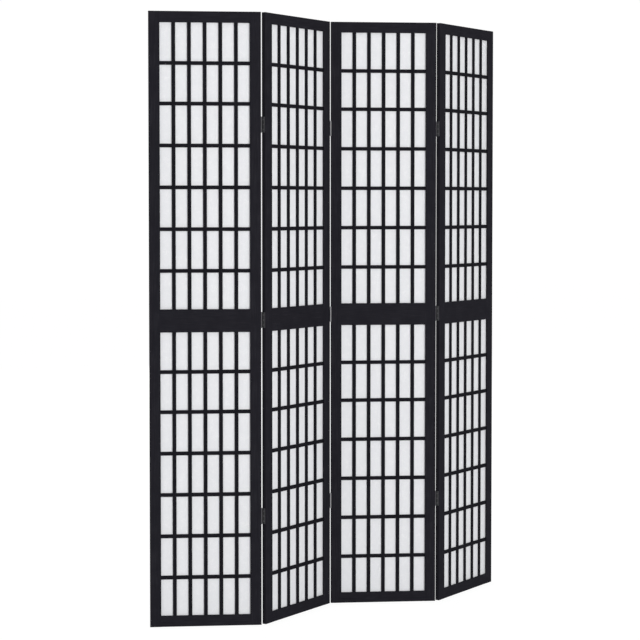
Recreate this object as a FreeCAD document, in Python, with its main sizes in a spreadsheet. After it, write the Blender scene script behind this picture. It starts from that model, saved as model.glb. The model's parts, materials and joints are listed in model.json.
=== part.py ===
import FreeCAD, Part
import math
import os
import re
import Sketcher

# A folding screen: four tall panels of wooden lattice and paper, hinged edge to edge and stood in a
# zigzag. Millimetres, +Z up. The origin is on the floor, under the middle of the standing screen; the
# screen runs along X and its front looks towards -Y.
#
# A panel is drawn in a frame of its own: x runs along the panel from its left edge, y runs backwards
# from its front face, and z runs up from the floor. Folds 1 and 3 stand forward and have their hinge
# pins behind the panels. Fold 2 stands back and has its pins in front.

SIZES = (
    # frame of a panel
    ("opening_width", 320, "width of the two openings, between the stiles"),
    ("lower_opening_height", 1018, "height of the lower opening"),
    ("upper_opening_height", 1019.5, "height of the upper opening"),
    ("stile_width", 40, "width of each stile"),
    ("top_rail_height", 40, "height of the top rail"),
    ("middle_rail_height", 82.5, "height of the middle rail"),
    ("bottom_rail_height", 40, "height of the bottom rail"),
    ("frame_thickness", 16, "thickness of stiles and rails, front to back"),
    ("edge_chamfer", 0.8, "easing of the outer edges"),
    ("groove_depth", 8, "depth of the groove round each opening"),
    ("groove_wall", 3, "wood left in front of the groove and behind it"),
    ("end_gap", 0.5, "room between the floor of a groove and what stands in it"),
    # lattice and paper
    ("bar_width", 13.4, "width of a lattice bar, seen from the front"),
    ("cell_height", 135.4, "height of a full lattice cell"),
    ("short_cell_height", 130.4, "height of the lattice's bottom cell and of its second cell from the top"),
    ("lap_clearance", 0.1, "room between two lattice bars where they cross"),
    ("paper_thickness", 0.4, "thickness of the paper between the two lattices"),
    # folds
    ("half_turn", 24.65, "degrees that each panel stands off the line of the screen"),
    ("pin_offset", 1.6, "how far the pin's axis stands out from the panels' faces"),
    ("lower_hinge_height", 392, "middle of the lowest hinge above the floor"),
    ("upper_hinge_drop", 400, "middle of the highest hinge below the panel's top"),
    # butt hinges
    ("hinge_length", 56, "length of a hinge along its pin"),
    ("leaf_thickness", 1.2, "thickness of a leaf"),
    ("leaf_reach", 14, "how far a leaf reaches over the stile's edge"),
    ("leaf_play", 0.4, "room between the two leaves when the panels are in line"),
    ("barrel_wall", 1.25, "wall of the knuckles"),
    ("knuckle_gap", 0.25, "room between neighbouring knuckles"),
    ("pin_radius", 1.5, "radius of the hinge pin"),
    ("pin_clearance", 0.05, "room round the pin in its knuckles"),
    ("pin_head_overhang", 0.8, "how far the pin's heads stand out over its shank"),
    ("pin_head_height", 1, "height of each head of the pin"),
    ("pin_head_chamfer", 0.5, "chamfer round the pin's heads"),
    ("relief_clearance", 0.3, "room round the barrel where the stile and the other leaf are cut away"),
    # countersunk screws
    ("screw_length", 16, "length of a screw"),
    ("screw_radius", 1.5, "radius of its shank"),
    ("screw_flare", 1.2, "how far its head stands out over the shank"),
    ("screw_tip", 3, "length of its point"),
    ("screw_clearance", 0.05, "room round a screw in the leaf and the wood"),
    ("screw_inset", 7.5, "screws' distance from the face on the pin's side"),
    ("screw_pitch", 18, "distance from one screw to the next"),
    ("recess_width", 0.7, "width of the slots of the cross recess"),
    ("recess_length", 3, "length of the slots of the cross recess"),
    ("recess_depth", 0.8, "depth of the cross recess"),
)
SIZE = {name: value for name, value, meaning in SIZES}

COLUMN_BARS = 5    # upright bars in each lattice, which share the opening's width evenly
KNUCKLES = 5       # knuckles of a hinge: every other one, from the bottom, is on the three-knuckle leaf
SCREWS = (-1, 0, 1)    # the three screws of a leaf, in steps of screw_pitch from its middle

# Sizes that follow from the ones above, spelt as formulas of their names.
PANEL_WIDTH = "(opening_width + 2 * stile_width)"
PANEL_HEIGHT = ("(bottom_rail_height + lower_opening_height + middle_rail_height"
                " + upper_opening_height + top_rail_height)")
UPPER_OPENING_BOTTOM = "(bottom_rail_height + lower_opening_height + middle_rail_height)"
GROOVE_BACK = "(frame_thickness - groove_wall)"
INSERT = "(groove_depth - end_gap)"
PAPER_FRONT = "(frame_thickness / 2 - paper_thickness / 2)"
LATTICE_DEPTH = f"({PAPER_FRONT} - groove_wall)"
COLUMN_CELL = f"((opening_width - {COLUMN_BARS} * bar_width) / {COLUMN_BARS + 1})"
HINGE_GAP = "(2 * leaf_thickness + leaf_play)"
BARREL_RADIUS = "(pin_radius + pin_clearance + barrel_wall)"
RELIEF_RADIUS = f"({BARREL_RADIUS} + relief_clearance)"
KNUCKLE_LENGTH = f"((hinge_length - {KNUCKLES - 1} * knuckle_gap) / {KNUCKLES})"
HINGE_HEIGHTS = {
    "low": "lower_hinge_height",
    "mid": f"({PANEL_HEIGHT} / 2)",
    "high": f"({PANEL_HEIGHT} - upper_hinge_drop)",
}

# Where the pin is at each hinged edge: for every panel, its left edge and its right edge.
PIN_SIDES = {
    1: {"left": None, "right": "back"},
    2: {"left": "back", "right": "front"},
    3: {"left": "front", "right": "back"},
    4: {"left": "back", "right": None},
}

doc = FreeCAD.newDocument("folding_screen")
sheet = doc.addObject("Spreadsheet::Sheet", "Sizes")
for row, (name, value, meaning) in enumerate(SIZES, start=1):
    sheet.set(f"A{row}", name)
    sheet.set(f"B{row}", str(value))
    sheet.set(f"C{row}", meaning)
    sheet.setAlias(f"B{row}", name)
doc.recompute()


def formula(text):
    """Point each name of a size in a formula at its cell in the sheet."""
    return re.sub(r"[a-z_]\w*", lambda word: f"Sizes.{word[0]}" if word[0] in SIZE else word[0], text)


def place_formula(x="0", y="0", z="0", turn="0", about="0; 0; 1"):
    """A placement as a formula: a point and a turn in degrees about an axis."""
    return f"placement(vector({x}; {y}; {z}); rotation(vector({about}); {turn}))"


# ---- tools for sketches and solids ------------------------------------------------------------------

def new_body(name):
    return doc.addObject("PartDesign::Body", name)


def sketch_on(body, name, plane, lift="0"):
    """An empty sketch on one of the body's own planes, lifted off it by a formula."""
    sketch = body.newObject("Sketcher::SketchObject", name)
    support = [part for part in body.Origin.OriginFeatures if part.Role == plane][0]
    sketch.AttachmentSupport = [(support, "")]
    sketch.MapMode = "FlatFace"
    sketch.setExpression("AttachmentOffset.Base.z", formula(lift))
    return sketch


def pin_point(sketch, edge, point, across, up):
    """Hold a point of a sketch at two formulas, measured from the sketch's origin."""
    for kind, text in (("DistanceX", across), ("DistanceY", up)):
        index = sketch.addConstraint(Sketcher.Constraint(kind, -1, 1, edge, point, 1.0))
        sketch.setExpression(f"Constraints[{index}]", formula(text))


def outline(body, name, plane, corners, lift="0"):
    """A closed sketch of straight edges through corners, each a pair of formulas."""
    sketch = sketch_on(body, name, plane, lift)
    count = len(corners)
    turns = [2 * math.pi * corner / count for corner in range(count)]
    ring = [FreeCAD.Vector(math.cos(turn), math.sin(turn), 0) for turn in turns]
    for edge in range(count):
        sketch.addGeometry(Part.LineSegment(ring[edge], ring[(edge + 1) % count]))
    for edge in range(count):
        sketch.addConstraint(Sketcher.Constraint("Coincident", edge, 2, (edge + 1) % count, 1))
    for edge, (across, up) in enumerate(corners):
        pin_point(sketch, edge, 1, across, up)
    return sketch


def circles(body, name, plane, centres, radius, lift="0"):
    """A sketch of circles of one radius."""
    sketch = sketch_on(body, name, plane, lift)
    for across, up in centres:
        circle = sketch.addGeometry(Part.Circle(FreeCAD.Vector(), FreeCAD.Vector(0, 0, 1), 1))
        pin_point(sketch, circle, 3, across, up)
        index = sketch.addConstraint(Sketcher.Constraint("Radius", circle, 1.0))
        sketch.setExpression(f"Constraints[{index}]", formula(radius))
    return sketch


def extrude(body, kind, name, sketch, length, along_normal=True):
    """Pad or pocket a sketch; along_normal is the way the sketch's plane looks."""
    feature = body.newObject(f"PartDesign::{kind}", name)
    feature.Profile = sketch
    feature.setExpression("Length", formula(length))
    feature.Reversed = along_normal if kind == "Pocket" else not along_normal
    return feature


def revolve(body, name, sketch):
    """Turn a sketch once round its own upright axis."""
    feature = body.newObject("PartDesign::Revolution", name)
    feature.Profile = sketch
    feature.ReferenceAxis = (sketch, ["V_Axis"])
    feature.Angle = 360
    return feature


def block(name, corner, size):
    """A box from its low corner and its three sizes, all formulas."""
    solid = doc.addObject("Part::Box", name)
    for side, text in zip(("Length", "Width", "Height"), size):
        solid.setExpression(side, formula(text))
    solid.setExpression("Placement", formula(place_formula(*corner)))
    return solid


def group(name, members):
    compound = doc.addObject("Part::Compound", name)
    compound.Links = members
    return compound


def placed(source, name, place, locator=None):
    """A copy of source at a placement formula, in a locator's frame if one is given."""
    copy = group(name, [source])
    copy.setExpression("Placement", formula(f"{locator.Name}.Placement * {place}" if locator else place))
    return copy


# ---- frame of a panel -------------------------------------------------------------------------------

def make_stile(name):
    """Stile from the floor up: its outer edge is at x = 0 and its groove is in the inner edge."""
    body = new_body(name)
    groove_floor = "stile_width - groove_depth"
    corners = [
        ("edge_chamfer", "0"), ("stile_width", "0"),
        ("stile_width", "groove_wall"), (groove_floor, "groove_wall"),
        (groove_floor, GROOVE_BACK), ("stile_width", GROOVE_BACK),
        ("stile_width", "frame_thickness"), ("edge_chamfer", "frame_thickness"),
        ("0", "frame_thickness - edge_chamfer"), ("0", "edge_chamfer"),
    ]
    section = outline(body, f"{name}_section", "XY_Plane", corners)
    extrude(body, "Pad", f"{name}_length", section, PANEL_HEIGHT)
    return body


def make_hinged_stile(name):
    """Stile whose outer edge takes three hinges, with their pins behind the panel."""
    body = make_stile(name)
    centres = [("frame_thickness - screw_inset", f"{height} + {step} * screw_pitch")
               for height in HINGE_HEIGHTS.values() for step in SCREWS]
    holes = circles(body, f"{name}_pilot_holes", "YZ_Plane", centres, "screw_radius + screw_clearance")
    extrude(body, "Pocket", f"{name}_pilots", holes, "screw_length - leaf_thickness + end_gap")
    half_relief = "(hinge_length / 2 + pin_head_height + relief_clearance)"
    for label, height in HINGE_HEIGHTS.items():
        pin = (f"-{HINGE_GAP} / 2", "frame_thickness + pin_offset")
        round_cut = circles(body, f"{name}_{label}_relief_circle", "XY_Plane", [pin], RELIEF_RADIUS,
                            lift=f"{height} - {half_relief}")
        extrude(body, "Pocket", f"{name}_{label}_relief", round_cut, f"2 * {half_relief}")
    return body


def make_rail(name, height, groove_on_top):
    """Rail from its lower edge up, between the stiles, with a tongue at each end.

    Its lower edge is grooved, and so is its upper edge where groove_on_top says so.
    """
    body = new_body(name)
    corners = [("0", "0"), ("groove_wall", "0"), ("groove_wall", "groove_depth"),
               (GROOVE_BACK, "groove_depth"), (GROOVE_BACK, "0"), ("frame_thickness", "0")]
    if groove_on_top:
        tongue_top = f"{height} - groove_depth"
        corners += [("frame_thickness", height), (GROOVE_BACK, height), (GROOVE_BACK, tongue_top),
                    ("groove_wall", tongue_top), ("groove_wall", height), ("0", height)]
    else:
        tongue_top = height
        corners += [("frame_thickness", f"{height} - edge_chamfer"),
                    ("frame_thickness - edge_chamfer", height), ("edge_chamfer", height),
                    ("0", f"{height} - edge_chamfer")]
    section = outline(body, f"{name}_section", "YZ_Plane", corners)
    extrude(body, "Pad", f"{name}_length", section, "opening_width")
    tongue = [("groove_wall", "groove_depth"), (GROOVE_BACK, "groove_depth"),
              (GROOVE_BACK, tongue_top), ("groove_wall", tongue_top)]
    tongue_section = outline(body, f"{name}_tongue_section", "YZ_Plane", tongue, lift=f"-{INSERT}")
    extrude(body, "Pad", f"{name}_tongues", tongue_section, f"opening_width + 2 * {INSERT}")
    return body


# ---- lattice and paper ------------------------------------------------------------------------------

def row_places(opening_height):
    """Heights of the level bars' lower edges above the opening, as formulas.

    From the bottom: a short cell, full cells, a short cell, and a top cell that takes what is left.
    """
    left_over = opening_height - 2 * (SIZE["short_cell_height"] + SIZE["bar_width"])
    full_cells = max(0, math.floor(left_over / (SIZE["cell_height"] + SIZE["bar_width"]) - 0.5))
    rows = [f"short_cell_height + {row} * (cell_height + bar_width)" for row in range(full_cells + 1)]
    return rows + [f"{rows[-1]} + bar_width + short_cell_height"]


def make_lattice(name, bottom, height, opening_height):
    """Front lattice of an opening: upright and level bars, half-lapped where they cross.

    The uprights keep their front half at each crossing, and the level bars their back half.
    """
    across = [f"stile_width + {bar + 1} * {COLUMN_CELL} + {bar} * bar_width" for bar in range(COLUMN_BARS)]
    up = [f"{bottom} + {row}" for row in row_places(opening_height)]
    middle = f"groove_wall + {LATTICE_DEPTH} / 2"
    upright_bottom = f"{bottom} - {INSERT}"
    upright_size = f"{height} + 2 * {INSERT}"
    level_left = f"stile_width - {INSERT}"
    level_size = f"opening_width + 2 * {INSERT}"

    def bars(label, kind, front, depth, room="0"):
        """One box for each bar of a kind, wider by room on each side."""
        width = f"bar_width + 2 * {room}"
        if kind == "upright":
            corners = [(f"{x} - {room}", front, upright_bottom) for x in across]
            size = (width, depth, upright_size)
        else:
            corners = [(level_left, front, f"{z} - {room}") for z in up]
            size = (level_size, depth, width)
        solids = [block(f"{label}_{index + 1}", corner, size) for index, corner in enumerate(corners)]
        return group(label, solids)

    room = "lap_clearance / 2"
    halved = []
    laps = (("upright", "level", f"{middle} - {room}"), ("level", "upright", "groove_wall"))
    for kind, other, notch_front in laps:
        cut = doc.addObject("Part::Cut", f"{name}_{kind}_bars")
        cut.Base = bars(f"{name}_{kind}_blank", kind, "groove_wall", LATTICE_DEPTH)
        cut.Tool = bars(f"{name}_{kind}_notch", other, notch_front, f"{LATTICE_DEPTH} / 2 + {room}", room)
        halved.append(cut)
    return group(name, halved)


def make_paper(name, bottom, height):
    corner = (f"stile_width - {INSERT}", PAPER_FRONT, f"{bottom} - {INSERT}")
    size = (f"opening_width + 2 * {INSERT}", "paper_thickness", f"{height} + 2 * {INSERT}")
    return block(name, corner, size)


# ---- hinges -----------------------------------------------------------------------------------------
# A hinge is drawn round its pin: the pin's axis is Z, the middle of the hinge is z = 0, and the two
# edges that it joins are the planes x = -HINGE_GAP / 2 and x = +HINGE_GAP / 2, on the -Y side.

def knuckle_bottom(index):
    return f"{index} * ({KNUCKLE_LENGTH} + knuckle_gap) - hinge_length / 2"


def make_leaf(name, side, own_knuckles):
    """One leaf; side is -1 for the left-hand edge and 1 for the right-hand edge."""
    body = new_body(name)
    wood = f"{side} * {HINGE_GAP} / 2"
    face = f"{side} * ({HINGE_GAP} / 2 - leaf_thickness)"
    far_end = "-(pin_offset + leaf_reach)"
    plate = outline(body, f"{name}_plate_outline", "XY_Plane",
                    [(wood, far_end), (face, far_end), (face, "0"), (wood, "0")], lift="-hinge_length / 2")
    extrude(body, "Pad", f"{name}_plate", plate, "hinge_length")
    for index in range(KNUCKLES):
        if index not in own_knuckles:
            room = circles(body, f"{name}_room_{index}_circle", "XY_Plane", [("0", "0")], RELIEF_RADIUS,
                           lift=f"{knuckle_bottom(index)} - knuckle_gap")
            extrude(body, "Pocket", f"{name}_room_{index}", room, f"{KNUCKLE_LENGTH} + 2 * knuckle_gap")
    for index in own_knuckles:
        ring = circles(body, f"{name}_knuckle_{index}_circle", "XY_Plane", [("0", "0")], BARREL_RADIUS,
                       lift=knuckle_bottom(index))
        extrude(body, "Pad", f"{name}_knuckle_{index}", ring, KNUCKLE_LENGTH)
    bore = circles(body, f"{name}_bore_circle", "XY_Plane", [("0", "0")], "pin_radius + pin_clearance",
                   lift="-hinge_length / 2")
    extrude(body, "Pocket", f"{name}_bore", bore, "hinge_length")
    for step in SCREWS:
        sink = body.newObject("PartDesign::SubtractiveCone", f"{name}_countersink_{step + 2}")
        sink.setExpression("Radius1", formula("screw_radius + screw_clearance"))
        sink.setExpression("Radius2", formula("screw_radius + screw_flare + screw_clearance"))
        sink.setExpression("Height", formula("leaf_thickness"))
        sink.setExpression("Placement", formula(place_formula(
            wood, "-(pin_offset + screw_inset)", f"{step} * screw_pitch", f"{-side * 90}", "0; 1; 0")))
    return body


def make_pin():
    """Hinge pin with a chamfered head at each end."""
    body = new_body("hinge_pin")
    head_radius = "pin_radius + pin_head_overhang"
    half = []
    for sign in ("-", ""):
        end = [("0", f"{sign}(hinge_length / 2 + pin_head_height)"),
               (f"{head_radius} - pin_head_chamfer", f"{sign}(hinge_length / 2 + pin_head_height)"),
               (head_radius, f"{sign}(hinge_length / 2 + pin_head_height - pin_head_chamfer)"),
               (head_radius, f"{sign}(hinge_length / 2)"),
               ("pin_radius", f"{sign}(hinge_length / 2)")]
        half += end if sign else end[::-1]
    revolve(body, "hinge_pin_turned", outline(body, "hinge_pin_half", "XZ_Plane", half))
    return body


def make_screw():
    """Countersunk screw that points down from z = 0, with a cross recess in its head."""
    body = new_body("screw")
    half = [("0", "0"), ("screw_radius + screw_flare", "0"), ("screw_radius", "-leaf_thickness"),
            ("screw_radius", "screw_tip - screw_length"), ("0", "-screw_length")]
    revolve(body, "screw_turned", outline(body, "screw_half", "XZ_Plane", half))
    long, short = "recess_length / 2", "recess_width / 2"
    arm = [(long, f"-{short}"), (long, short), (short, short)]
    cross = []
    for quarter in range(4):
        cross += arm
        arm = [(f"-({y})", x) for x, y in arm]
    recess = outline(body, "screw_recess_cross", "XY_Plane", cross)
    extrude(body, "Pocket", "screw_recess", recess, "recess_depth", along_normal=False)
    return body


def at_each_hinge(source, name):
    """Three copies of a hinge piece, one at the height of each hinge."""
    copies = [placed(source, f"{name}_{label}", place_formula(z=height))
              for label, height in HINGE_HEIGHTS.items()]
    return group(name, copies)


def leaf_screws(screw, name, side):
    """The three screws of a leaf, driven through it into the wood."""
    face = f"{side} * ({HINGE_GAP} / 2 - leaf_thickness)"
    copies = []
    for step in SCREWS:
        place = place_formula(face, "-(pin_offset + screw_inset)", f"{step} * screw_pitch",
                              f"{-side * 90}", "0; 1; 0")
        copies.append(placed(screw, f"{name}_{step + 2}", place))
    return group(name, copies)


# ---- master pieces, each drawn once -----------------------------------------------------------------

plain_stile = make_stile("plain_stile")
back_hinged_left_stile = make_hinged_stile("back_hinged_left_stile")
back_hinged_right_stile = doc.addObject("Part::Mirroring", "back_hinged_right_stile")
back_hinged_right_stile.Source = back_hinged_left_stile
back_hinged_right_stile.Normal = FreeCAD.Vector(1, 0, 0)

bottom_rail = make_rail("bottom_rail", "bottom_rail_height", groove_on_top=False)
middle_rail = make_rail("middle_rail", "middle_rail_height", groove_on_top=True)
top_rail = make_rail("top_rail", "top_rail_height", groove_on_top=False)

OPENINGS = {
    "lower": ("bottom_rail_height", "lower_opening_height"),
    "upper": (UPPER_OPENING_BOTTOM, "upper_opening_height"),
}
lattices = {level: make_lattice(f"{level}_lattice", bottom, height, SIZE[height])
            for level, (bottom, height) in OPENINGS.items()}
papers = {level: make_paper(f"{level}_paper", bottom, height)
          for level, (bottom, height) in OPENINGS.items()}

# The leaf with three knuckles goes on the left-hand panel of a fold whose pins are behind. At fold 2
# the same hinges are turned half round, so it goes on the right-hand panel there.
odd_knuckles = range(0, KNUCKLES, 2)
even_knuckles = range(1, KNUCKLES, 2)
screw = make_screw()
three_knuckle_leaves = at_each_hinge(make_leaf("three_knuckle_leaf", -1, odd_knuckles), "leaves_of_three")
two_knuckle_leaves = at_each_hinge(make_leaf("two_knuckle_leaf", 1, even_knuckles), "leaves_of_two")
left_screws = at_each_hinge(leaf_screws(screw, "left_leaf_screw", -1), "left_screws")
right_screws = at_each_hinge(leaf_screws(screw, "right_leaf_screw", 1), "right_screws")
pins = at_each_hinge(make_pin(), "pins")

# ---- where the panels stand -------------------------------------------------------------------------
# From one pin to the next along a panel it is PANEL_WIDTH + HINGE_GAP, and across it, because the pins
# change sides, the thickness and two pin offsets. Half the screen is the mirror image of the other.

along = f"({PANEL_WIDTH} + {HINGE_GAP})"
between_faces = "(frame_thickness + 2 * pin_offset)"
fold_spacing = f"({along} * cos(half_turn * 1deg) + {between_faces} * sin(half_turn * 1deg))"
fold_depth = f"({along} * sin(half_turn * 1deg) - {between_faces} * cos(half_turn * 1deg))"


def make_locator(name, place):
    locator = doc.addObject("Part::LocalCoordinateSystem", name)
    locator.setExpression("Placement", formula(place))
    return locator


fold_axes = {
    1: make_locator("fold_1_axis", place_formula(f"-{fold_spacing}", f"-{fold_depth} / 2")),
    2: make_locator("fold_2_axis", place_formula("0", f"{fold_depth} / 2")),
    3: make_locator("fold_3_axis", place_formula(fold_spacing, f"-{fold_depth} / 2")),
}
left_of_fold = place_formula(f"-({PANEL_WIDTH} + {HINGE_GAP} / 2)", "-(frame_thickness + pin_offset)")
right_of_fold = place_formula(f"{HINGE_GAP} / 2", "-(frame_thickness + pin_offset)")
panel_places = {
    1: ("fold_1_axis", "-half_turn", left_of_fold),
    2: ("fold_1_axis", "half_turn", right_of_fold),
    3: ("fold_3_axis", "-half_turn", left_of_fold),
    4: ("fold_3_axis", "half_turn", right_of_fold),
}
panel_frames = {
    number: make_locator(f"panel_{number}_frame", f"{axis}.Placement * {place_formula(turn=turn)} * {shift}")
    for number, (axis, turn, shift) in panel_places.items()
}

# ---- the screen's pieces ----------------------------------------------------------------------------

HALF_ROUND = place_formula(PANEL_WIDTH, "frame_thickness", turn="180")    # turned about the panel's middle
pieces = []


def add_piece(source, name, place, frame):
    piece = placed(source, name, place, frame)
    piece.Label = name
    pieces.append(piece)


def add_stile(number, side, frame):
    """Stile for one edge of a panel, plain or cut for hinges with their pins behind or in front."""
    pin_side = PIN_SIDES[number][side]
    name = f"panel_{number}_{side}_stile"
    if pin_side is None:
        add_piece(plain_stile, name, place_formula() if side == "left" else HALF_ROUND, frame)
    elif side == "left":
        if pin_side == "back":
            add_piece(back_hinged_left_stile, name, place_formula(), frame)
        else:
            front = place_formula(y="frame_thickness", turn="180")
            add_piece(back_hinged_right_stile, name, front, frame)
    elif pin_side == "back":
        add_piece(back_hinged_right_stile, name, place_formula(x=PANEL_WIDTH), frame)
    else:
        add_piece(back_hinged_left_stile, name, HALF_ROUND, frame)


def add_frame_and_filling(number, frame):
    rail_x = "stile_width"
    top_rail_z = f"{UPPER_OPENING_BOTTOM} + upper_opening_height"
    upside_down = place_formula(rail_x, "frame_thickness", "bottom_rail_height", "180", "1; 0; 0")
    add_stile(number, "left", frame)
    add_stile(number, "right", frame)
    add_piece(top_rail, f"panel_{number}_top_rail", place_formula(rail_x, z=top_rail_z), frame)
    middle_place = place_formula(rail_x, z="bottom_rail_height + lower_opening_height")
    add_piece(middle_rail, f"panel_{number}_middle_rail", middle_place, frame)
    add_piece(bottom_rail, f"panel_{number}_bottom_rail", upside_down, frame)
    for level in ("upper", "lower"):
        add_piece(lattices[level], f"panel_{number}_{level}_front_lattice", place_formula(), frame)
        add_piece(lattices[level], f"panel_{number}_{level}_back_lattice", HALF_ROUND, frame)
        add_piece(papers[level], f"panel_{number}_{level}_paper", place_formula(), frame)


def add_hinge_pieces(number, side, frame):
    """Leaves, screws and pins on one hinged edge of a panel."""
    pin_side = PIN_SIDES[number][side]
    if pin_side is None:
        return
    fold = number if side == "right" else number - 1
    leaf_side = "left" if side == "right" else "right"
    x = f"{PANEL_WIDTH} + {HINGE_GAP} / 2" if side == "right" else f"-{HINGE_GAP} / 2"
    if pin_side == "back":
        place = place_formula(x, "frame_thickness + pin_offset")
        has_three = side == "right"
    else:
        place = place_formula(x, "-pin_offset", turn="180")
        has_three = side == "left"
    leaves, screws = (three_knuckle_leaves, left_screws) if has_three else (two_knuckle_leaves, right_screws)
    add_piece(leaves, f"fold_{fold}_{leaf_side}_leaves", place, frame)
    add_piece(screws, f"fold_{fold}_{leaf_side}_screws", place, frame)
    if has_three:
        add_piece(pins, f"fold_{fold}_pins", place, frame)


for number, frame in panel_frames.items():
    add_frame_and_filling(number, frame)
    for side in ("left", "right"):
        add_hinge_pieces(number, side, frame)

doc.recompute()

# ---- checks and export ------------------------------------------------------------------------------

for feature in doc.Objects:
    if "Invalid" in feature.State or "Error" in feature.State:
        raise RuntimeError(f"{feature.Name} did not compute: {feature.State}")
    if feature.TypeId in ("PartDesign::Pocket", "PartDesign::SubtractiveCone"):
        if not feature.Shape.Volume < feature.BaseFeature.Shape.Volume:
            raise RuntimeError(f"{feature.Name} cuts nothing")
for piece in pieces:
    if piece.Shape.isNull() or not piece.Shape.isValid() or not piece.Shape.Solids:
        raise RuntimeError(f"{piece.Label} has no valid solid")

os.makedirs("parts", exist_ok=True)
for piece in pieces:
    piece.Shape.exportStep(f"parts/{piece.Label}.step")

for number, axis in fold_axes.items():
    spot = axis.Placement.Base
    print(f"fold {number}: pin at x {spot.x:.4f}, y {spot.y:.4f}")
whole = Part.makeCompound([piece.Shape for piece in pieces]).BoundBox
print(f"{len(pieces)} pieces, x {whole.XMin:.3f} to {whole.XMax:.3f}, y {whole.YMin:.3f} to {whole.YMax:.3f},"
      f" z {whole.ZMin:.3f} to {whole.ZMax:.3f}")
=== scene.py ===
"""Shoji folding screen: its finishes, papers, studio and camera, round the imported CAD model.

Lengths are in metres, in the model's own frame: X along the row of panels, Y to the back, Z up.
A panel's own frame has X along the panel from its left edge, Y back from its front face, and Z up.
"""

import json
import math
import random

import bmesh
import bpy
from bpy.props import FloatProperty, FloatVectorProperty, IntProperty, PointerProperty
from mathutils import Matrix, Vector, noise


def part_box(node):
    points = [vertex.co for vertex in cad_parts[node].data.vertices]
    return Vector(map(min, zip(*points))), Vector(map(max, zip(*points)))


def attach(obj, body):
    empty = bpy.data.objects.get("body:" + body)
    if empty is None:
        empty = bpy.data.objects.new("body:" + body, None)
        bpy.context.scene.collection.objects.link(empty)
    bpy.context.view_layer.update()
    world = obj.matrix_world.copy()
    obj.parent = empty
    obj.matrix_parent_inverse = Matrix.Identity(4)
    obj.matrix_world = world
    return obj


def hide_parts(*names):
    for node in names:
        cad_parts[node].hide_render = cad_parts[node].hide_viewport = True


bl_info = {
    "name": "Shoji folding screen",
    "version": (1, 0, 0),
    "blender": (4, 5, 0),
    "location": "3D View > Sidebar > Shoji",
    "description": "Lacquer, papers, hinges, studio and camera for a folding screen",
    "category": "Object",
}

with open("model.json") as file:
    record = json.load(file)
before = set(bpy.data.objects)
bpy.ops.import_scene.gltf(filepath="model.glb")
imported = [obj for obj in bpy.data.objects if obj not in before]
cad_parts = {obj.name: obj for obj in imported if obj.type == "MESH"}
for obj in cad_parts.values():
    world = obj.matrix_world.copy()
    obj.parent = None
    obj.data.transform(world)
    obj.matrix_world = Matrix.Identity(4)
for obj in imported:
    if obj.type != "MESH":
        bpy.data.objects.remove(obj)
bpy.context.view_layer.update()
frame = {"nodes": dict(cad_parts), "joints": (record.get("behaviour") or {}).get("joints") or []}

# ---- the parts of the screen --------------------------------------------------------------------

JOINTS = {joint["name"]: joint for joint in frame["joints"]}
# The fold that each panel hangs on, and the side of the fold that it is on
PANELS = {1: ("fold_1", -1), 2: ("fold_1", 1), 3: ("fold_3", -1), 4: ("fold_3", 1)}
FOLDS = (1, 2, 3)
# The folds that have their knuckles in front, where they catch the light: their knuckles get a
# painted highlight
LIT_KNUCKLE_FOLDS = (2,)
# The rails below and above each opening
OPENINGS = {"upper": ("middle_rail", "top_rail"), "lower": ("bottom_rail", "middle_rail")}
LATTICES = ("front_lattice", "back_lattice")
STILES = ("left_stile", "right_stile")
RAILS = ("top_rail", "middle_rail", "bottom_rail")
HINGE_PLATES = ("left_leaves", "right_leaves", "pins")
HINGE_SCREWS = ("left_screws", "right_screws")

# ---- the finishes' patterns ---------------------------------------------------------------------
# A scale is how often a pattern repeats in a metre. A pattern comes in between its two levels, and
# least is how much of it shows at the lower one. A relief is the height of a pattern in metres.

GRAIN_DETAIL, GRAIN_ROUGHNESS = 4, 0.62
PORE_LEVELS = (0.42, 0.62)
CLOUD_SCALE, CLOUD_LEVELS, CLOUD_LEAST = 22, (0.3, 0.7), 0.35
SPRAY_SCALE, SPRAY_SHARE = 650, 0.3
LACQUER_ROUGHNESS = (0.52, 0.66)
LACQUER_SPECULAR = 0.006
LACQUER_RELIEF = 0.00005

# A paper's own coordinates, in metres, and how far from their origin its corner may be drawn
PAPER_MAP = "paper_metres"
PAPER_DRAW = 9
# The direction of the fibres in each layer, in radians, and a fibre's width and length
FIBRE_LAYERS = ((0.35, 0.005, 0.042), (1.30, 0.0055, 0.050), (2.45, 0.0045, 0.034))
FIBRE_LEVELS = (0.004, 0.022)
PATCH_SCALE, PATCH_LEVELS, PATCH_LEAST = 45, (0.35, 0.65), 0.1
PULP_SCALE, PULP_DETAIL, PULP_ROUGHNESS, PULP_LEVELS = 140, 5, 0.65, (0.25, 0.75)
PULP_SHADE = 0.975
PAPER_ROUGHNESS = (0.88, 0.96)
PAPER_SPECULAR = 0.2
PAPER_RELIEF = 0.00006

# Where the painted highlight round the pin ends and the plain plating starts, in millimetres from
# the pin's axis.
# The unit along the pin is so long that the place along it counts for nothing.
PIN_LEVELS = (3.0, 4.2)
PIN_UNITS = (0.001, 0.001, 1000)
BRUSH_STREAK = (0.00025, 0.00025, 0.006)
DULL_SCALE, DULL_LEVELS, DULL_SHADE = 260, (0.35, 0.65), 0.12
STEEL_ROUGHNESS = (0.42, 0.58)
STEEL_RELIEF = 0.00002

# ---- the papers' shape --------------------------------------------------------------------------

# Ripples to the metre, across a paper and up it
RIPPLES_ACROSS, RIPPLES_UP = 9, 11
RIPPLE_GAIN = 1.6
# How many times sooner a paper comes free of a level bar than of an upright one
LEVEL_FREEDOM = 3
# How near a lattice's left end the ends of its level bars are looked for
END_ZONE = 0.001
# Decimals that are kept of a bar's edge
EDGE_DECIMALS = 4

# ---- the studio ---------------------------------------------------------------------------------

FLOOR_REACH = 20
FLOOR_PAINT = 0.85
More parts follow.
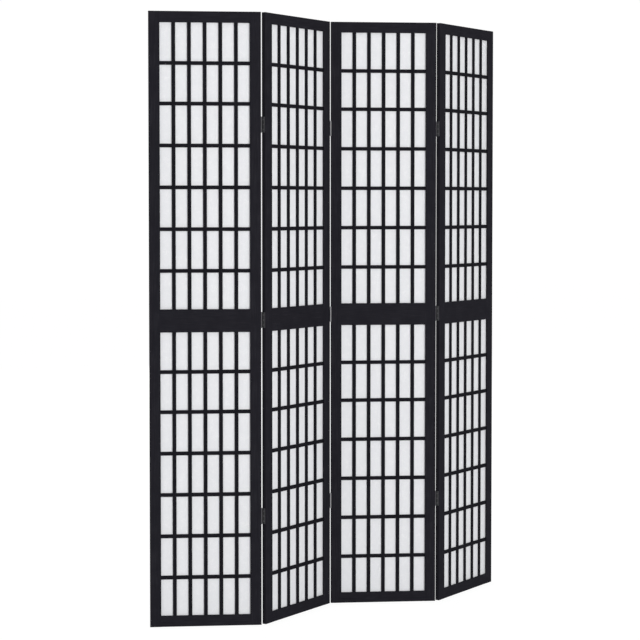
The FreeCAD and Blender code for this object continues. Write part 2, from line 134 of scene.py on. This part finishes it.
# Brightness of the floor and the room where they are seen, and the floor's share of it
FLOOR_WHITE, ROOM_WHITE = 1.15, 1.01
FLOOR_WHITE_SHARE = 0.8
WHITE = (1, 1, 1, 1)
BLACK = (0, 0, 0, 1)
# Each lamp's place, and the property that holds its power
LAMPS = {
    "key_lamp": ((-1.35, -9.3, 1.5), "key_power"),
    "fill_lamp": ((1.35, 9.3, 1.5), "fill_power"),
}
LAMP_WIDTH = 2.9
LAMP_AIM = Vector((0, 0, 1.1))
SENSOR_WIDTH = 36


# ---- what a user may change ---------------------------------------------------------------------


def length(name, description, default):
    return FloatProperty(
        name=name, description=description, default=default, unit="LENGTH", precision=5
    )


def colour(name, description, default):
    return FloatVectorProperty(
        name=name,
        description=description,
        default=(*default, 1),
        size=4,
        min=0,
        max=1,
        subtype="COLOR",
    )


class ShojiSizes(bpy.types.PropertyGroup):
    panel_turn: FloatProperty(
        name="Panel turn",
        description="Angle between each panel and the row",
        default=math.radians(24.65),
        subtype="ANGLE",
    )
    panel_width: length("Panel width", "Width of a panel, over both stiles", 0.4)
    stile_width: length("Stile width", "Width of a stile, seen from the front", 0.04)
    frame_thickness: length("Frame thickness", "Thickness of a panel's frame", 0.016)
    hinge_gap: length("Hinge gap", "Gap between two panels when they are in line", 0.0028)
    pin_offset: length("Pin offset", "Distance of a fold's pins from the panels' faces", 0.0016)
    bar_width: length("Bar width", "Width of a lattice bar, seen from the front", 0.0134)
    bars: IntProperty(
        name="Upright bars", description="Upright bars in a lattice", default=5, min=1
    )
    paper_thickness: length("Paper thickness", "Thickness of a paper", 0.00025)
    paper_step: length("Paper step", "Distance between the points that shape a paper", 0.008)
    paper_slack: length("Paper slack", "How far a paper is out of flat in a cell", 0.0004)


class ShojiFinishes(bpy.types.PropertyGroup):
    lacquer: colour("Lacquer", "Colour of the lacquer", (0.0140, 0.0135, 0.0176))
    grain: colour(
        "Grain", "Colour of the lacquer over the wood's softer grain", (0.0235, 0.0226, 0.0280)
    )
    bar_lacquer: colour(
        "Bar lacquer", "Colour of the lacquer on the lattices", (0.0098, 0.0095, 0.0123)
    )
    bar_grain: colour(
        "Bar grain", "Colour of the lattices' lacquer over softer grain", (0.0165, 0.0158, 0.0196)
    )
    grain_width: length("Grain width", "Width of a streak of grain", 0.0011)
    grain_length: length("Grain length", "Length of a streak of grain", 0.09)
    paper: colour("Paper", "Colour of the paper", (0.790, 0.797, 0.820))
    fibre: colour("Fibre", "Colour of the fibres in the paper", (0.835, 0.838, 0.856))
    steel: colour("Steel", "Colour of the hinges' dulled plating", (0.20, 0.20, 0.21))
    # The knuckle colour is a painted highlight: the plating's lit colour on knuckles that stand in
    # front of the panels
    painted_knuckle_highlight: colour("Knuckle", "Colour of the plating where hands rub it", (0.42, 0.42, 0.43))
    screw: colour("Screw", "Colour of the screws' plating", (0.36, 0.36, 0.37))


class ShojiStudio(bpy.types.PropertyGroup):
    camera_place: FloatVectorProperty(
        name="Camera place",
        description="Where the camera stands",
        default=(-3.2177, -5.4923, 1.5220),
        subtype="TRANSLATION",
        unit="LENGTH",
    )
    camera_heading: FloatProperty(
        name="Camera heading",
        description="Turn of the camera from straight ahead towards the right",
        default=0.5178,
        subtype="ANGLE",
    )
    camera_tilt: FloatProperty(
        name="Camera tilt", description="Turn of the camera down", default=0.0352, subtype="ANGLE"
    )
    lens: FloatProperty(
        name="Lens", description="Focal length in millimetres", default=95.92, min=1
    )
    shift: FloatProperty(
        name="Shift", description="Upward shift of the picture", default=-0.09
    )
    room_light: FloatProperty(
        name="Room light", description="Level of the light all round", default=0.485, min=0
    )
    key_power: FloatProperty(
        name="Key lamp", description="Power of the front lamp", default=492, unit="POWER"
    )
    fill_power: FloatProperty(
        name="Fill lamp", description="Power of the rear lamp", default=492, unit="POWER"
    )


# ---- places -------------------------------------------------------------------------------------


def panel_matrix(number):
    """From a panel's own frame to the model's."""
    sizes = bpy.context.scene.shoji_sizes
    fold, side = PANELS[number]
    pin_x, pin_y, _ = JOINTS[fold]["pos_m"]
    left = sizes.hinge_gap / 2 if side > 0 else -(sizes.panel_width + sizes.hinge_gap / 2)
    pin = Matrix.Translation((pin_x, pin_y, 0))
    turn = Matrix.Rotation(side * sizes.panel_turn, 4, "Z")
    return pin @ turn @ Matrix.Translation((left, -(sizes.frame_thickness + sizes.pin_offset), 0))


def bar_pitch():
    """Distance from one upright bar of a lattice to the next."""
    sizes = bpy.context.scene.shoji_sizes
    opening = sizes.panel_width - 2 * sizes.stile_width
    return (opening - sizes.bars * sizes.bar_width) / (sizes.bars + 1) + sizes.bar_width


def first_bar():
    """Left edge of a lattice's first upright bar, in the panel's own frame."""
    sizes = bpy.context.scene.shoji_sizes
    return sizes.stile_width + bar_pitch() - sizes.bar_width


def upright_holds():
    """Left and right edge of all that holds a paper from side to side: stile, bars, stile."""
    sizes = bpy.context.scene.shoji_sizes
    lefts = [first_bar() + bar * bar_pitch() for bar in range(sizes.bars)]
    bars = [(left, left + sizes.bar_width) for left in lefts]
    right_stile = (sizes.panel_width - sizes.stile_width, sizes.panel_width)
    return [(0, sizes.stile_width), *bars, right_stile]


def level_holds(number, opening):
    """Lower and upper edge of all that holds a paper from bottom to top: rail, bars, rail."""
    points = points_in_panel(number, f"{opening}_front_lattice")
    ends = min(point.x for point in points) + END_ZONE
    edges = sorted({round(point.z, EDGE_DECIMALS) for point in points if point.x < ends})
    bars = list(zip(edges[::2], edges[1::2]))
    below, above = (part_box(f"panel_{number}_{rail}") for rail in OPENINGS[opening])
    return [(below[0][2], below[1][2]), *bars, (above[0][2], above[1][2])]


def points_in_panel(number, part):
    """The points of one of a panel's CAD nodes at rest, in the panel's own frame."""
    back = panel_matrix(number).inverted()
    node = frame["nodes"][f"panel_{number}_{part}"]
    return [back @ vertex.co for vertex in node.data.vertices]


# ---- materials ----------------------------------------------------------------------------------


def new_material(name):
    material = bpy.data.materials.new(name)
    material.use_nodes = True
    material.node_tree.nodes.clear()
    return material, material.node_tree


def add_node(tree, kind, inputs=None, **settings):
    """Adds a node; each of its inputs is given as a value, or as the socket that feeds it."""
    node = tree.nodes.new(kind)
    for name, value in settings.items():
        setattr(node, name, value)
    for key, value in (inputs or {}).items():
        if isinstance(value, bpy.types.NodeSocket):
            tree.links.new(value, node.inputs[key])
        else:
            node.inputs[key].default_value = value
    return node


def calculate(tree, operation, *values):
    return add_node(
        tree, "ShaderNodeMath", dict(enumerate(values)), operation=operation
    ).outputs[0]


def mix_colours(tree, factor, first, second):
    inputs = {0: factor, 6: first, 7: second}
    return add_node(tree, "ShaderNodeMix", inputs, data_type="RGBA").outputs[2]


def mix_values(tree, factor, first, second):
    return add_node(tree, "ShaderNodeMix", {0: factor, 2: first, 3: second}).outputs[0]


def graded(tree, value, levels, low=0.0, high=1.0):
    """Turns a value smoothly into low at the first of the levels and high at the second."""
    inputs = {0: value, 1: levels[0], 2: levels[1], 3: low, 4: high}
    return add_node(
        tree, "ShaderNodeMapRange", inputs, interpolation_type="SMOOTHSTEP"
    ).outputs[0]


def in_frame(tree, vector, matrix, size):
    """The vector in the frame that matrix places, in steps of size along each of its axes."""
    inputs = {0: vector, 1: matrix.to_translation(), 2: matrix.to_euler(), 3: size}
    return add_node(tree, "ShaderNodeMapping", inputs, vector_type="TEXTURE").outputs[0]


def noise_of(tree, vector, scale=1.0, detail=2.0, roughness=0.5):
    inputs = {"Vector": vector, "Scale": scale, "Detail": detail, "Roughness": roughness}
    return add_node(tree, "ShaderNodeTexNoise", inputs).outputs[0]


def finish_surface(tree, shader, height, relief):
    """Raises the shader's surface by relief times height, and makes it the tree's surface."""
    bump = add_node(tree, "ShaderNodeBump", {"Strength": 1.0, "Distance": relief, "Height": height})
    tree.links.new(bump.outputs[0], shader.inputs["Normal"])
    add_node(tree, "ShaderNodeOutputMaterial", {"Surface": shader.outputs[0]})


def object_coordinates(tree):
    return add_node(tree, "ShaderNodeTexCoord").outputs["Object"]


def grain_noise(tree, matrix, along):
    """Long streaks along an axis of the frame that matrix places."""
    finishes = bpy.context.scene.shoji_finishes
    streak = [finishes.grain_width] * 3
    streak["XYZ".index(along)] = finishes.grain_length
    where = in_frame(tree, object_coordinates(tree), matrix, streak)
    return noise_of(tree, where, detail=GRAIN_DETAIL, roughness=GRAIN_ROUGHNESS)


def lacquer(tree, grain, coat, over_grain):
    """Black satin lacquer, sprayed thinly enough for the grain to tell through it."""
    where = object_coordinates(tree)
    cloud = noise_of(tree, where, CLOUD_SCALE)
    spray = noise_of(tree, where, SPRAY_SCALE, detail=1)
    pores = graded(tree, grain, PORE_LEVELS)
    tone = calculate(tree, "MULTIPLY", pores, graded(tree, cloud, CLOUD_LEVELS, CLOUD_LEAST))
    shader = add_node(
        tree,
        "ShaderNodeBsdfPrincipled",
        {
            "Base Color": mix_colours(tree, tone, coat, over_grain),
            "Roughness": mix_values(tree, pores, *LACQUER_ROUGHNESS),
            "Specular IOR Level": LACQUER_SPECULAR,
        },
    )
    finish_surface(tree, shader, mix_values(tree, SPRAY_SHARE, pores, spray), LACQUER_RELIEF)


def lacquered_wood(name, matrix, along):
    """Lacquered wood with its grain along one axis of the frame that matrix places."""
    finishes = bpy.context.scene.shoji_finishes
    material, tree = new_material(name)
    lacquer(tree, grain_noise(tree, matrix, along), finishes.lacquer, finishes.grain)
    return material


def lacquered_lattice(name, matrix):
    """Lacquered bars, with the grain of the uprights along Z and of the level bars along X."""
    sizes, finishes = bpy.context.scene.shoji_sizes, bpy.context.scene.shoji_finishes
    material, tree = new_material(name)
    steps = matrix @ Matrix.Translation((first_bar(), 0, 0))
    place = in_frame(tree, object_coordinates(tree), steps, (bar_pitch(), 1, 1))
    across = add_node(tree, "ShaderNodeSeparateXYZ", {0: place}).outputs[0]
    in_pitch = calculate(tree, "SUBTRACT", across, calculate(tree, "FLOOR", across))
    upright = calculate(tree, "LESS_THAN", in_pitch, sizes.bar_width / bar_pitch())
    level_grain, upright_grain = (grain_noise(tree, matrix, along) for along in "XZ")
    grain = mix_values(tree, upright, level_grain, upright_grain)
    lacquer(tree, grain, finishes.bar_lacquer, finishes.bar_grain)
    return material


def fibre_layer(tree, where, angle, width, reach):
    """Thin, wandering fibres along one direction: the contours of a noise stretched along it."""
    layer = in_frame(tree, where, Matrix.Rotation(angle, 4, "Z"), (reach, width, 1))
    above_contour = calculate(tree, "SUBTRACT", noise_of(tree, layer, detail=1), 0.5)
    off_contour = calculate(tree, "ABSOLUTE", above_contour)
    return graded(tree, off_contour, FIBRE_LEVELS, 1.0, 0.0)


def fibre_paper(name):
    """White fibre paper: matt, a little cloudy, with fine fibres across each other."""
    finishes = bpy.context.scene.shoji_finishes
    material, tree = new_material(name)
    where = add_node(tree, "ShaderNodeUVMap", uv_map=PAPER_MAP).outputs[0]
    fibres, *layers = (fibre_layer(tree, where, *layer) for layer in FIBRE_LAYERS)
    for layer in layers:
        fibres = calculate(tree, "MAXIMUM", fibres, layer)
    patches = noise_of(tree, where, PATCH_SCALE, detail=1)
    patches = graded(tree, patches, PATCH_LEVELS, PATCH_LEAST)
    fibres = calculate(tree, "MULTIPLY", fibres, patches)
    pulp = noise_of(tree, where, PULP_SCALE, PULP_DETAIL, PULP_ROUGHNESS)
    cloud = graded(tree, pulp, PULP_LEVELS)
    shaded = (*(PULP_SHADE * part for part in finishes.paper[:3]), 1)
    sheet = mix_colours(tree, cloud, shaded, finishes.paper)
    shader = add_node(
        tree,
        "ShaderNodeBsdfPrincipled",
        {
            "Base Color": mix_colours(tree, fibres, sheet, finishes.fibre),
            "Roughness": mix_values(tree, cloud, *PAPER_ROUGHNESS),
            "Specular IOR Level": PAPER_SPECULAR,
        },
    )
    finish_surface(tree, shader, mix_values(tree, 0.5, fibres, pulp), PAPER_RELIEF)
    return material


def plated_steel(name, plating, pin_highlight, pin):
    """Satin nickel plating, brushed lengthways and dulled in patches, with a painted highlight
    round the pin.
    """
    material, tree = new_material(name)
    where = object_coordinates(tree)
    from_pin = in_frame(tree, where, Matrix.Translation(pin), PIN_UNITS)
    distance = add_node(tree, "ShaderNodeVectorMath", {0: from_pin}, operation="LENGTH")
    off_pin = graded(tree, distance.outputs["Value"], PIN_LEVELS)
    # Painted highlight: near the pin the lighter colour stands for the light on a knuckle in front
    plate = mix_colours(tree, off_pin, pin_highlight, plating)
    brushed = noise_of(tree, in_frame(tree, where, Matrix(), BRUSH_STREAK))
    dulled = graded(tree, noise_of(tree, where, DULL_SCALE), DULL_LEVELS)
    worn = mix_colours(tree, DULL_SHADE, plate, BLACK)
    shader = add_node(
        tree,
        "ShaderNodeBsdfPrincipled",
        {
            "Base Color": mix_colours(tree, dulled, plate, worn),
            "Roughness": mix_values(tree, brushed, *STEEL_ROUGHNESS),
            "Metallic": 1.0,
        },
    )
    finish_surface(tree, shader, brushed, STEEL_RELIEF)
    return material


def seen_directly(tree):
    """1 for what the camera sees, also in metal and through glass, and 0 for the light's rays."""
    ray = add_node(tree, "ShaderNodeLightPath").outputs
    seen = calculate(tree, "MAXIMUM", ray["Is Camera Ray"], ray["Is Glossy Ray"])
    return calculate(tree, "MAXIMUM", seen, ray["Is Transmission Ray"])


def studio_floor(name):
    """White floor that keeps a faint trace of the object's shadow."""
    material, tree = new_material(name)
    paint_colour = (FLOOR_PAINT, FLOOR_PAINT, FLOOR_PAINT, 1)
    lit = add_node(tree, "ShaderNodeBsdfDiffuse", {"Color": paint_colour}).outputs[0]
    white = add_node(tree, "ShaderNodeEmission", {"Strength": FLOOR_WHITE}).outputs[0]
    share = calculate(tree, "MULTIPLY", seen_directly(tree), FLOOR_WHITE_SHARE)
    mixed = add_node(tree, "ShaderNodeMixShader", {0: share, 1: lit, 2: white}).outputs[0]
    add_node(tree, "ShaderNodeOutputMaterial", {"Surface": mixed})
    return material


def studio_room(name, light_level):
    """Light of one level from all round, which is seen as plain white."""
    world = bpy.data.worlds.new(name)
    world.use_nodes = True
    tree = world.node_tree
    tree.nodes.clear()
    light, white = (
        add_node(tree, "ShaderNodeBackground", {"Color": WHITE, "Strength": level}).outputs[0]
        for level in (light_level, ROOM_WHITE)
    )
    inputs = {0: seen_directly(tree), 1: light, 2: white}
    mixed = add_node(tree, "ShaderNodeMixShader", inputs).outputs[0]
    add_node(tree, "ShaderNodeOutputWorld", {"Surface": mixed})
    return world


# ---- pieces -------------------------------------------------------------------------------------


def paint(node_name, material):
    for slot in frame["nodes"][node_name].material_slots:
        slot.material = material


def new_object(name, form):
    mesh = bpy.data.meshes.new(name)
    form.to_mesh(mesh)
    form.free()
    made = bpy.data.objects.new(name, mesh)
    bpy.context.scene.collection.objects.link(made)
    return made


def stretched_paper(number, opening):
    """Makes the paper of one opening: held flat by the bars, and a little slack in each cell."""
    sizes = bpy.context.scene.shoji_sizes
    node_name = f"panel_{number}_{opening}_paper"
    points = points_in_panel(number, f"{opening}_paper")
    low, high = (
        Vector(extreme(point[axis] for point in points) for axis in range(3))
        for extreme in (min, max)
    )
    size = high - low
    middle = (low + high) / 2

    form = bmesh.new()
    uv = form.loops.layers.uv.new(PAPER_MAP)
    columns, rows = (math.ceil(size[axis] / sizes.paper_step) for axis in (0, 2))
    bmesh.ops.create_grid(form, x_segments=columns, y_segments=rows, size=0.5, calc_uvs=True)
    bmesh.ops.scale(form, vec=(size.x, size.z, 1), verts=form.verts)
    draw = random.Random(f"{number} {opening}")
    cut_from = Vector((draw.uniform(0, PAPER_DRAW), draw.uniform(0, PAPER_DRAW)))
    for face in form.faces:
        for corner in face.loops:
            corner[uv].uv = corner.vert.co.xy + cut_from
    bmesh.ops.rotate(form, matrix=Matrix.Rotation(math.pi / 2, 3, "X"), verts=form.verts)
    bmesh.ops.translate(form, vec=middle, verts=form.verts)
    holds = upright_holds(), level_holds(number, opening)
    for vertex in form.verts:
        vertex.co.y += sizes.paper_slack * paper_ripple(vertex.co, cut_from, holds)
    bmesh.ops.solidify(form, geom=form.faces, thickness=sizes.paper_thickness)
    bmesh.ops.translate(form, vec=(0, -sizes.paper_thickness / 2, 0), verts=form.verts)
    bmesh.ops.transform(form, matrix=panel_matrix(number), verts=form.verts)
    bmesh.ops.recalc_face_normals(form, faces=form.faces)
    for face in form.faces:
        face.smooth = True

    sheet = new_object(f"{node_name}_sheet", form)
    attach(sheet, f"panel_{number}")
    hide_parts(node_name)
    return sheet


def paper_ripple(point, cut_from, holds):
    """How far a paper stands out at a point, from -1 to 1, and 0 where a bar holds it."""
    uprights, levels = holds
    where = (point.x * RIPPLES_ACROSS + cut_from.x, point.z * RIPPLES_UP + cut_from.y, 0)
    lift = max(-1, min(1, RIPPLE_GAIN * noise.noise(Vector(where))))
    from_levels = min(1, LEVEL_FREEDOM * freedom(point.z, levels))
    return lift * freedom(point.x, uprights) * from_levels


def freedom(place, holds):
    """0 where one of the bars holds the paper, rising to 1 halfway between two of them."""
    for (_, start), (end, _) in zip(holds, holds[1:]):
        if start < place < end:
            return math.sin(math.pi * (place - start) / (end - start))
    return 0


# ---- operators ----------------------------------------------------------------------------------


class SHOJI_OT_lacquer_frames(bpy.types.Operator):
    """Lacquer the stiles and rails of every panel, with the grain along each piece"""

    bl_idname = "shoji.lacquer_frames"
    bl_label = "Lacquer Frames"

    def execute(self, context):
        stile_wood = lacquered_wood("lacquered_stile", Matrix(), "Z")
        for number in PANELS:
            rail_wood = lacquered_wood(f"lacquered_rail_{number}", panel_matrix(number), "X")
            for stile in STILES:
                paint(f"panel_{number}_{stile}", stile_wood)
            for rail in RAILS:
                paint(f"panel_{number}_{rail}", rail_wood)
        return {"FINISHED"}


class SHOJI_OT_lacquer_lattices(bpy.types.Operator):
    """Lacquer the bars in front of and behind the papers"""

    bl_idname = "shoji.lacquer_lattices"
    bl_label = "Lacquer Lattices"

    def execute(self, context):
        for number in PANELS:
            bars = lacquered_lattice(f"lacquered_lattice_{number}", panel_matrix(number))
            for opening in OPENINGS:
                for lattice in LATTICES:
                    paint(f"panel_{number}_{opening}_{lattice}", bars)
        return {"FINISHED"}


class SHOJI_OT_stretch_papers(bpy.types.Operator):
    """Put a sheet of fibre paper between the lattices of every opening"""

    bl_idname = "shoji.stretch_papers"
    bl_label = "Stretch Papers"

    def execute(self, context):
        paper = fibre_paper("fibre_paper")
        for number in PANELS:
            for opening in OPENINGS:
                stretched_paper(number, opening).data.materials.append(paper)
        return {"FINISHED"}


class SHOJI_OT_plate_hinges(bpy.types.Operator):
    """Plate the leaves, pins and screws of the hinges"""

    bl_idname = "shoji.plate_hinges"
    bl_label = "Plate Hinges"

    def execute(self, context):
        finishes = context.scene.shoji_finishes
        steel, screw = finishes.steel, finishes.screw
        for fold in FOLDS:
            pin = Vector(JOINTS[f"fold_{fold}"]["pos_m"])
            # Knuckles in front get a painted highlight, a lighter colour for the light they catch
            painted_knuckle_highlight = finishes.painted_knuckle_highlight if fold in LIT_KNUCKLE_FOLDS else steel
            hinge_steel = plated_steel(f"plated_hinge_{fold}", steel, painted_knuckle_highlight, pin)
            screw_steel = plated_steel(f"plated_screw_{fold}", screw, screw, pin)
            for part in HINGE_PLATES:
                paint(f"fold_{fold}_{part}", hinge_steel)
            for part in HINGE_SCREWS:
                paint(f"fold_{fold}_{part}", screw_steel)
        return {"FINISHED"}


class SHOJI_OT_set_studio(bpy.types.Operator):
    """Set up the white floor, the light all round and the soft lamps"""

    bl_idname = "shoji.set_studio"
    bl_label = "Set Studio"

    def execute(self, context):
        studio = context.scene.shoji_studio
        form = bmesh.new()
        bmesh.ops.create_grid(form, x_segments=1, y_segments=1, size=FLOOR_REACH)
        floor = new_object("studio_floor", form)
        floor.data.materials.append(studio_floor("studio_floor"))

        context.scene.world = studio_room("studio_room", studio.room_light)
        for name, (place, power) in LAMPS.items():
            lamp = bpy.data.lights.new(name, "AREA")
            lamp.size = LAMP_WIDTH
            lamp.energy = getattr(studio, power)
            holder = bpy.data.objects.new(name, lamp)
            holder.location = place
            towards = LAMP_AIM - Vector(place)
            holder.rotation_euler = towards.to_track_quat("-Z", "Y").to_euler()
            holder.visible_glossy = False
            context.scene.collection.objects.link(holder)
        context.scene.view_settings.view_transform = "Standard"
        return {"FINISHED"}


class SHOJI_OT_place_camera(bpy.types.Operator):
    """Put the camera where it sees the screen a little from its left"""

    bl_idname = "shoji.place_camera"
    bl_label = "Place Camera"

    def execute(self, context):
        studio = context.scene.shoji_studio
        optics = bpy.data.cameras.new("camera")
        optics.sensor_width = SENSOR_WIDTH
        optics.lens = studio.lens
        optics.shift_y = studio.shift
        camera = bpy.data.objects.new("camera", optics)
        camera.location = studio.camera_place
        camera.rotation_euler = (math.pi / 2 - studio.camera_tilt, 0, -studio.camera_heading)
        context.scene.collection.objects.link(camera)
        context.scene.camera = camera
        return {"FINISHED"}


class SHOJI_PT_screen(bpy.types.Panel):
    """Sizes, finishes and studio of the folding screen"""

    bl_idname = "SHOJI_PT_screen"
    bl_label = "Shoji Folding Screen"
    bl_space_type = "VIEW_3D"
    bl_region_type = "UI"
    bl_category = "Shoji"

    def draw(self, context):
        scene = context.scene
        for title, group in (
            ("Sizes", scene.shoji_sizes),
            ("Finishes", scene.shoji_finishes),
            ("Studio", scene.shoji_studio),
        ):
            box = self.layout.box()
            box.label(text=title)
            for name in type(group).__annotations__:
                box.prop(group, name)
        for step in STEPS:
            self.layout.operator(step.bl_idname)


GROUPS = {
    "shoji_sizes": ShojiSizes,
    "shoji_finishes": ShojiFinishes,
    "shoji_studio": ShojiStudio,
}
STEPS = (
    SHOJI_OT_lacquer_frames,
    SHOJI_OT_lacquer_lattices,
    SHOJI_OT_stretch_papers,
    SHOJI_OT_plate_hinges,
    SHOJI_OT_set_studio,
    SHOJI_OT_place_camera,
)


def register():
    for kind in (*GROUPS.values(), *STEPS, SHOJI_PT_screen):
        bpy.utils.register_class(kind)
    for name, group in GROUPS.items():
        setattr(bpy.types.Scene, name, PointerProperty(type=group))


def unregister():
    for name in GROUPS:
        delattr(bpy.types.Scene, name)
    for kind in reversed((*GROUPS.values(), *STEPS, SHOJI_PT_screen)):
        bpy.utils.unregister_class(kind)


def main():
    register()
    bpy.ops.shoji.lacquer_frames()
    bpy.ops.shoji.lacquer_lattices()
    bpy.ops.shoji.stretch_papers()
    bpy.ops.shoji.plate_hinges()
    bpy.ops.shoji.set_studio()
    bpy.ops.shoji.place_camera()


if __name__ == "__main__":
    main()
